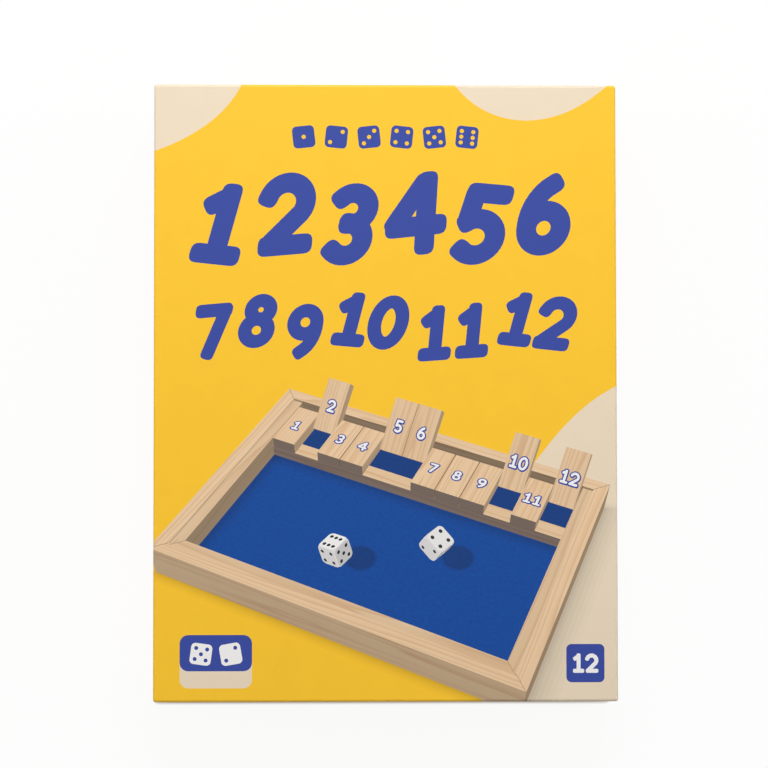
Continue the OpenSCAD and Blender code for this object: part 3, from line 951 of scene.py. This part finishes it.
eye_way = Vector((math.cos(VIEW_HEIGHT) * math.cos(VIEW_TURN),
                  -math.cos(VIEW_HEIGHT) * math.sin(VIEW_TURN), math.sin(VIEW_HEIGHT)))
eye = tray_centre + eye_way * VIEW_DISTANCE
eye_right = Vector((math.sin(VIEW_TURN), math.cos(VIEW_TURN), 0))
eye_up = eye_way.cross(eye_right)


def picture_point(p):
    """Where a point of the tray falls in print."""
    d = p - eye
    far = -d.dot(eye_way)
    return (PICTURE_CENTRE.x + d.dot(eye_right) / far * VIEW_DISTANCE * PICTURE_SCALE,
            PICTURE_CENTRE.y + d.dot(eye_up) / far * VIEW_DISTANCE * PICTURE_SCALE)


def picture_tint(ring, tone):
    """A tint over a pictured area."""
    lay(None, [[[picture_point(p) for p in ring]]], tone)


def facing(corners):
    """The way that a face with these corners looks."""
    return (corners[1] - corners[0]).cross(corners[2] - corners[0]).normalized()


def picture_face(corners, ink, along, tone=None):
    """One pictured face, if it is seen at all. along is the way of its grain."""
    normal = facing(corners)
    if normal.dot(eye - corners[0]) <= 0:
        return False
    if tone is None:
        tone = WOOD_SHADE + WOOD_LIT * max(0, normal.dot(LIGHT))
    cross = normal.cross(along)

    def grain(x, y):
        """The way back: from a place in print to the pictured face, in its grain's axes."""
        ray = (eye_right * ((x - PICTURE_CENTRE.x) / PICTURE_SCALE / VIEW_DISTANCE)
               + eye_up * ((y - PICTURE_CENTRE.y) / PICTURE_SCALE / VIEW_DISTANCE) - eye_way)
        p = eye + ray * ((corners[0] - eye).dot(normal) / ray.dot(normal))
        return (p.dot(along), p.dot(cross), p.dot(normal))

    lay(ink, [[[picture_point(p) for p in corners]]], tone, grain)
    return True


def level(x0, x1, y0, y1, z):
    """The corners of a level face."""
    return [Vector(p) for p in ((x0, y0, z), (x1, y0, z), (x1, y1, z), (x0, y1, z))]


def wall(a, b, low, high):
    """The corners of an upright face over the line from a to b."""
    return [Vector((*a, low)), Vector((*b, low)), Vector((*b, high)), Vector((*a, high))]


def picture_solid(low, high, along, tones, turn=Matrix()):
    """A pictured pine block between two corners, turned by a matrix. Its front lies in shade."""
    (x0, y0, z0), (x1, y1, z1) = low, high
    faces = {"top": level(x0, x1, y0, y1, z1), "bottom": level(x0, x1, y1, y0, z0),
             "front": wall((x1, y0), (x1, y1), z0, z1), "back": wall((x0, y1), (x0, y0), z0, z1),
             "left": wall((x0, y0), (x1, y0), z0, z1), "right": wall((x1, y1), (x0, y1), z0, z1)}
    way = (turn.to_3x3() @ along).normalized()
    seen = {}
    for name, corners in faces.items():
        placed = [turn @ corner for corner in corners]
        if picture_face(placed, "shaded_pine" if name == "front" else "pine", way, tones.get(name)):
            seen[name] = placed
    return seen


def picture_number(text, corners, up):
    """Prints an outlined number in the middle of a pictured face. up is the way its top points."""
    middle = sum(corners, Vector()) / 4
    across = up.cross(facing(corners))
    for ink, pen, shift in PICTURED_LAYERS:
        lay(ink, [[[picture_point(middle + across * x + up * y) for x, y in loop] for loop in part]
                  for part in number_parts(text, 0, 0, NUMBER_HEIGHT, pen, shift=shift)])


# The tray's own levels and edges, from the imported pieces.
LEDGE_DROP = 2.0
rim_w = box_mm("rail_back")[1].x - box_mm("rail_back")[0].x
bar_low, bar_high = box_mm("divider_bar")
base_z, felt_z, rim_z = tray_low.z, felt_high.z, tray_high.z
ledge_z = rim_z - LEDGE_DROP
out_x0, out_x1, out_y0, out_y1 = tray_low.x, tray_high.x, tray_low.y, tray_high.y
rim_x0, rim_x1, rim_y0, rim_y1 = out_x0 + rim_w, out_x1 - rim_w, out_y0 + rim_w, out_y1 - rim_w
in_y0 = box_mm("rail_left")[1].y
in_x0, in_x1, in_y1 = rim_x0, box_mm("rail_front")[0].x, -in_y0

# The tray's soft shadow on the ground, longer on the side away from the light.
for reach, tone in ((8, 0.97), (6.5, 0.96), (5, 0.95), (3.5, 0.94), (2, 0.92), (1, 0.9)):
    picture_tint(level(out_x0 - reach, out_x1 + reach, out_y0 - reach * 0.4, out_y1 + reach * 2.2,
                       base_z), tone)

# The outer sides, then the felt in its well and the shadows that lie on it.
picture_face(wall((out_x1, out_y0), (out_x1, out_y1), base_z, rim_z), "pine", Y_AXIS, 0.6)
picture_face(wall((out_x0, out_y0), (out_x1, out_y0), base_z, rim_z), "pine", X_AXIS, 0.5)
picture_face(wall((out_x1, out_y1), (out_x0, out_y1), base_z, rim_z), "pine", X_AXIS, 0.42)
picture_face(level(in_x0, in_x1, in_y0, in_y1, felt_z), "felt", Y_AXIS, 1.0)
picture_tint(level(in_x0, bar_low.x, in_y0, in_y1, felt_z), 0.62)
for width, tone in ((10, 0.93), (7, 0.9), (4, 0.85)):
    picture_tint(level(bar_high.x, bar_high.x + width, in_y0, in_y1, felt_z), tone)
    picture_tint(level(bar_high.x, in_x1, in_y0, in_y0 + width, felt_z), tone)

# The inner walls of the well.
picture_face(wall((in_x0, in_y0), (in_x0, in_y1), felt_z, rim_z), "pine", Y_AXIS, 0.27)
picture_face(wall((rim_x0, rim_y0), (rim_x0, in_y0), ledge_z, rim_z), "pine", Y_AXIS, 0.4)
picture_face(wall((rim_x0, in_y1), (rim_x0, rim_y1), ledge_z, rim_z), "pine", Y_AXIS, 0.4)
picture_face(wall((in_x1, in_y0), (in_x0, in_y0), felt_z, ledge_z), "pine", X_AXIS, 0.36)
picture_face(wall((in_x0, in_y1), (in_x1, in_y1), felt_z, ledge_z), "pine", X_AXIS, 0.78)


def rail_top(outer, inner, z, along, tone):
    """A rail's rim or ledge, mitred from its outer edge to its inner one."""
    ring = [Vector((*p, z)) for p in (*outer, *inner[::-1])]
    picture_face(ring if facing(ring).z > 0 else ring[::-1], "pine", along, tone)


def thin_line(a, b, width, tone):
    """A tint along a pictured edge."""
    (ax, ay), (bx, by) = picture_point(a), picture_point(b)
    length = math.hypot(bx - ax, by - ay)
    nx, ny = -(by - ay) / length * width / 2, (bx - ax) / length * width / 2
    lay(None, [[[(ax + nx, ay + ny), (bx + nx, by + ny), (bx - nx, by - ny), (ax - nx, ay - ny)]]], tone)


def side_rims(out_y, rim_y, in_y):
    """A side rail's ledge, the step up from it and its rim."""
    rail_top(((rim_x0, rim_y), (rim_x1, rim_y)), ((in_x0, in_y), (in_x1, in_y)), ledge_z, X_AXIS, 0.93)
    step = wall((rim_x0, rim_y), (rim_x1, rim_y), ledge_z, rim_z)
    picture_face(step if out_y > rim_y else step[::-1], "pine", X_AXIS, 0.72)
    rail_top(((out_x0, out_y), (out_x1, out_y)), ((rim_x0, rim_y), (rim_x1, rim_y)), rim_z, X_AXIS, 1.03)


# From the farthest to the nearest: the rims behind, the divider bar, the tiles, the dice, and the
# rims in front.
rail_top(((out_x0, out_y0), (out_x0, out_y1)), ((rim_x0, rim_y0), (rim_x0, rim_y1)), rim_z, Y_AXIS, 1.0)
side_rims(out_y0, rim_y0, in_y0)
picture_solid(bar_low, bar_high, Y_AXIS, {"front": 0.5, "top": 0.98})
TILES_UP = {2, 5, 6, 10, 12}
TILE_TONES = {"top": 1.02, "front": 0.46, "left": 0.6, "right": 0.5, "bottom": 0.95, "back": 0.8}
for name in sorted(tile_names, key=lambda name: -(sum(box_mm(name), Vector()) / 2 - eye).length):
    number = tile_names.index(name) + 1
    pivot = Vector(hinges[name]["pos_m"]) / MM
    turn = Matrix()
    if number in TILES_UP:
        angle = math.radians(max(hinges[name]["range_deg"]))
        leaned = Matrix.Rotation(angle, 4, Vector(hinges[name]["axis"]))
        turn = Matrix.Translation(pivot) @ leaned @ Matrix.Translation(-pivot)
    seen = picture_solid(*box_mm(name), X_AXIS, TILE_TONES, turn)
    for face, way in (("top", -X_AXIS), ("bottom", X_AXIS)):
        if face in seen:
            picture_number(str(number), seen[face], (turn.to_3x3() @ way).normalized())

# The dark gaps between tiles that lie side by side.
for number in range(1, len(tile_names)):
    if not {number, number + 1} & TILES_UP:
        low, high = box_mm(tile_names[number - 1])
        y = (high.y + box_mm(tile_names[number])[0].y) / 2
        corner = Vector((high.x, y, high.z))
        thin_line(Vector((low.x, y, high.z)), corner, width=0.3, tone=0.5)
        thin_line(corner, Vector((high.x, y, low.z)), width=0.4, tone=0.3)


PIP_SPREAD, PIP_R = 4.1, 1.45
FLAT_SHARE = 0.93  # of a die's face, inside its rounded edges
EDGE_INSET = 0.5  # that the rounded body's outline lies inside the faces
DIE_SHADOW, DIE_SHADOW_R = (-14, 12), 11  # from a pictured die to its shadow's middle


def picture_die(x, y, z, spin, lean, top, front, sides):
    """A pictured die over the felt, and its shadow. Its faces are given by their pips."""
    half = DIE_EDGE / 2
    turn = (Matrix.Translation((x, y, z)) @ Matrix.Rotation(math.radians(spin), 4, "Z")
            @ Matrix.Rotation(math.radians(lean), 4, "X"))
    for grow, tone in ((1.15, 0.85), (1.0, 0.7)):
        shadow = circle(x + DIE_SHADOW[0], y + DIE_SHADOW[1], DIE_SHADOW_R * grow, 15)
        picture_tint([Vector((*p, felt_z)) for p in shadow], tone)
    visible = []
    for normal, u, v, count in ((Z_AXIS, X_AXIS, Y_AXIS, top), (X_AXIS, Y_AXIS, Z_AXIS, front),
                                (-Y_AXIS, X_AXIS, Z_AXIS, sides), (Y_AXIS, -X_AXIS, Z_AXIS, sides)):
        world, u, v = (turn.to_3x3() @ way for way in (normal, u, v))
        middle = turn @ (normal * half)
        if world.dot(eye - middle) > 0:
            visible.append((world, middle, u, v, count))
    # The rounded body is the outline of all its faces together, in the tone of its soft edges.
    flat = rounded_box(0, 0, 2 * half, 2 * half, 3.2)
    body = []
    for world, middle, u, v, count in visible:
        body += [picture_point(middle - world * EDGE_INSET + u * px + v * py) for px, py in flat]
    lay("white", [[[body[i] for i in convex_hull_2d(body)]]], 0.82)
    for world, middle, u, v, count in visible:
        tone = DIE_SHADE + DIE_LIT * max(0, world.dot(LIGHT))
        lay("white", [[[picture_point(middle + (u * px + v * py) * FLAT_SHARE) for px, py in flat]]], tone)
        for px, py in pips(count):
            ring = circle(px * PIP_SPREAD, py * PIP_SPREAD, PIP_R, 30)
            lay("black", [[[picture_point(middle + u * qx + v * qy) for qx, qy in ring]]])


picture_die(50, -20, felt_z + 17, -12, 16, top=6, front=4, sides=5)
picture_die(20, 44, felt_z + 24, -20, -24, top=4, front=2, sides=6)
side_rims(out_y1, rim_y1, in_y1)
rail_top(((rim_x1, rim_y0), (rim_x1, rim_y1)), ((in_x1, in_y0), (in_x1, in_y1)), ledge_z, Y_AXIS, 0.95)
rail_top(((out_x1, out_y0), (out_x1, out_y1)), ((rim_x1, rim_y0), (rim_x1, rim_y1)), rim_z, Y_AXIS, 1.02)
# A dark line at each mitre.
for out_y, rim_y, in_y in ((out_y0, rim_y0, in_y0), (out_y1, rim_y1, in_y1)):
    thin_line(Vector((out_x1, out_y, rim_z)), Vector((rim_x1, rim_y, rim_z)), width=0.35, tone=0.62)
    thin_line(Vector((rim_x1, rim_y, ledge_z)), Vector((in_x1, in_y, ledge_z)), width=0.3, tone=0.66)
    thin_line(Vector((out_x0, out_y, rim_z)), Vector((rim_x0, rim_y, rim_z)), width=0.35, tone=0.62)

# The sheet is cut along every outline and fold, and each area takes the uppermost ink over it.
folds = []
for side in (-1, 1):
    for mark in [FOLD_R * math.radians(90 * i / FOLD_STEPS) for i in range(FOLD_STEPS + 1)]:
        x, y = side * (FLAT_X + mark), side * (FLAT_Y + mark)
        edge_y, edge_x = FLAT_Y + min(mark, CORNER_SHARE), FLAT_X + min(mark, CORNER_SHARE)
        folds += [((x, -edge_y), (x, edge_y)), ((-edge_x, y), (edge_x, y))]
    for other in (-1, 1):
        corner = (side * FLAT_X, other * FLAT_Y)
        for part in (0.0, 0.5, 1.0):
            x, y = side * (FLAT_X + CORNER_SHARE * part), other * (FLAT_Y + CORNER_SHARE * part)
            folds += [(corner, (side * share_x, y)), ((side * share_x, y), (side * side_x, y)),
                      (corner, (x, other * share_y)), ((x, other * share_y), (x, other * side_y))]
cut_points, cut_faces, found = cut_areas(shapes, folds, ground=0)


def folded(x, y):
    """Where a point of the flat sheet lies once it is folded round the lid."""
    sx, sy = math.copysign(1, x), math.copysign(1, y)
    past_x, past_y = max(abs(x) - FLAT_X, 0), max(abs(y) - FLAT_Y, 0)
    past, share = max(past_x, past_y), min(past_x, past_y)
    if past < 1e-6:
        return Vector((x, y, COVER_Z))
    down = min(past / FOLD_R, math.pi / 2)
    out = FOLD_R * math.sin(down)
    z = COVER_Z - FOLD_R * (1 - math.cos(down)) - max(past - FOLD_LENGTH, 0)
    round_corner = math.pi / 4 * share / min(past, CORNER_SHARE)
    if past_x >= past_y:
        px = sx * (FLAT_X + out * math.cos(round_corner))
        py = y if share < 1e-6 else sy * (FLAT_Y + out * math.sin(round_corner))
    else:
        px = x if share < 1e-6 else sx * (FLAT_X + out * math.sin(round_corner))
        py = sy * (FLAT_Y + out * math.cos(round_corner))
    return Vector((px, py, z))


# At the foot of its upright corners the sheet comes down to the CAD piece's rounded foot.
wrap_data = bpy.data.objects["lid_wrap"].data
points = [folded(*p) * MM for p in cut_points]
for point in points:
    if point.z / MM < wrap_low.z + RIM_R + 0.01:
        below = [v.co.z for v in wrap_data.vertices if (v.co.xy - point.xy).length < 2e-6]
        point.z = min(below, default=point.z)
ink_order = list(INKS)
faces, inks, tones, grains = [], [], [], []
for face, (index, tint) in zip(cut_faces, found):
    if index is None:
        continue
    shape = shapes[index]
    faces.append(face)
    inks.append(ink_order.index(shape["ink"]))
    for corner in face:
        tones.append(shape["tone"] * tint)
        grains.extend(shape["grain"](*cut_points[corner]) if shape["grain"] else (0, 0, 0))

# The rest of the paper is the CAD piece's own: its foot, its turned-in edge and its inner side.
start = len(points)
points += [v.co.copy() for v in wrap_data.vertices]
core = Vector((FLAT_X, FLAT_Y, COVER_Z - FOLD_R))
for face in wrap_data.polygons:
    middle = face.center / MM
    past = Vector([max(abs(middle[k]) - core[k], 0) for k in range(3)])
    if middle.z > wrap_low.z + RIM_R and past.length > FOLD_R - 0.1:
        continue
    faces.append([start + i for i in face.vertices])
    inks.append(0)
    tones += [1.0] * len(face.vertices)
    grains += [0] * 3 * len(face.vertices)

cover_mesh = mesh_of("lid_cover", points, faces, INKS.values(), inks)
cover_mesh.attributes.new("tone", "FLOAT", "CORNER").data.foreach_set("value", tones)
cover_mesh.attributes.new("grain", "FLOAT_VECTOR", "CORNER").data.foreach_set("vector", grains)
# The CAD piece's triangles are loose, so the paper is merged into one sheet.
sheet = bmesh.new()
sheet.from_mesh(cover_mesh)
bmesh.ops.remove_doubles(sheet, verts=sheet.verts, dist=2e-6)
bmesh.ops.delete(sheet, geom=[v for v in sheet.verts if not v.link_faces], context="VERTS")
sheet.to_mesh(cover_mesh)
sheet.free()
cover = placed_object(cover_mesh, "lid")
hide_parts("lid_wrap")

# ---- Stage ---------------------------------------------------------------------------------
# A white sweep and soft studio light, brighter from the cover's top edge, with the camera where
# the photograph's was: nearly straight above the box.
IMAGE = 768
CAMERA_DISTANCE = 1.6  # m from the cover's centre
TILT_LEFT, TILT_DOWN, ROLL = math.radians(1.70), math.radians(3.05), math.radians(0.071)
FOCAL_PIXELS = 3386.6
CENTRE_PIXEL = (385.7, 391.8)
LIGHTS = {"key_light": ((0.0, 0.85, 0.95), 11.1), "left_light": ((-1.3, 0.35, 1.2), 6.0),
          "right_light": ((1.3, 0.35, 1.2), 6.0)}  # places in m, and watts
LIGHT_WIDTH = 0.9  # m
SWEEP_HALF = 4.0  # m from the box to the white sweep's edges
SWEEP_GRAIN_MM = 50.0
SHADOW_SHARE = 0.07  # how much of the object's shadow is left on the white
# The contact shadow's band is a painted mask on the floor: the shade inside it is rendered, but these sizes
# set where it lies.
CONTACT_INSET = 3.0  # from the box's upper and lower sides to the shadow that it stands in
CONTACT_DROP = 1.8  # from the middle of the box to that shadow's, away from the key light
CONTACT_FADE = 2.2  # over which that shadow ends

camera_data = bpy.data.cameras.new("camera")
camera_data.sensor_width = 36
camera_data.lens = FOCAL_PIXELS / IMAGE * camera_data.sensor_width
camera_data.shift_x = (IMAGE / 2 - CENTRE_PIXEL[0]) / IMAGE
camera_data.shift_y = (CENTRE_PIXEL[1] - IMAGE / 2) / IMAGE
camera = bpy.data.objects.new("camera", camera_data)
cover_centre = Vector((0, 0, COVER_Z * MM))
away = Vector((-math.sin(TILT_LEFT), -math.sin(TILT_DOWN), 0))
away.z = math.sqrt(1 - away.length_squared)
camera_right = (-away).cross(Y_AXIS).normalized()
axes = Matrix((camera_right, away.cross(camera_right), away)).transposed()
camera.matrix_world = (Matrix.Translation(cover_centre + away * CAMERA_DISTANCE)
                       @ axes.to_4x4() @ Matrix.Rotation(-ROLL, 4, "Z"))
bpy.context.collection.objects.link(camera)
bpy.context.scene.camera = camera

for name, (place, watts) in LIGHTS.items():
    lamp = bpy.data.lights.new(name, "AREA")
    lamp.shape = "DISK"
    lamp.size = LIGHT_WIDTH
    lamp.energy = watts
    light = bpy.data.objects.new(name, lamp)
    light.location = place
    light.rotation_euler = (-Vector(place)).to_track_quat("-Z", "Y").to_euler()
    bpy.context.collection.objects.link(light)


def seen_ray(tree):
    """One for rays from the camera, a mirror or glass, and zero for light that bounces."""
    rays = add(tree, "ShaderNodeLightPath").outputs
    mirrored = maths(tree, "MAXIMUM", rays["Is Glossy Ray"], rays["Is Transmission Ray"])
    return maths(tree, "MAXIMUM", rays["Is Camera Ray"], mirrored)


world = bpy.data.worlds.new("studio")
bpy.context.scene.world = world
world.use_nodes = True
tree = world.node_tree
strength = ranged(tree, seen_ray(tree), 0.22, 1.0)
connect(tree.nodes["Background"], {"Color": "#ffffff", "Strength": strength})

white_sweep, tree, shader = new_material("white_sweep")
place = object_mm(tree)
grain = noise(tree, place, SWEEP_GRAIN_MM)
white = mix(tree, grain, "#f3f3f3", "#f7f7f7")
connect(shader, {"Base Color": white, "Roughness": 0.9})
# The camera sees the sweep burnt out to white by its own glow. In a band painted in the floor's own
# coordinates round the box's foot, shifted away from the key light, the glow is held back so that the
# rendered shadow shows there; elsewhere only a small share of the object's shadow is left.
glow = add(tree, "ShaderNodeEmission", {"Color": "#ffffff", "Strength": 1.0})
dropped = vectors(tree, "ADD", place, (0, CONTACT_DROP + CONTACT_INSET, 0))
spot = vectors(tree, "ABSOLUTE", dropped)
beside = vectors(tree, "SUBTRACT", spot, (COVER_W / 2, COVER_L / 2 - CONTACT_INSET, 0))
outside = vectors(tree, "MAXIMUM", beside, (0, 0, 0))
gap = vectors(tree, "LENGTH", outside)
shown = add(tree, "ShaderNodeMapRange", {"Value": gap, "From Max": CONTACT_FADE, "To Max": 1 - SHADOW_SHARE},
            interpolation_type="SMOOTHSTEP")
share = maths(tree, "MULTIPLY", seen_ray(tree), shown)
burnt = add(tree, "ShaderNodeMixShader", {0: share, 1: shader, 2: glow})
connect(tree.nodes["Material Output"], {"Surface": burnt})
corners = [(SWEEP_HALF * x, SWEEP_HALF * y, 0) for x, y in ((-1, -1), (1, -1), (1, 1), (-1, 1))]
sweep = bpy.data.objects.new("floor", mesh_of("floor", corners, [(0, 1, 2, 3)], [white_sweep]))
bpy.context.collection.objects.link(sweep)

bpy.context.scene.view_settings.view_transform = "Standard"
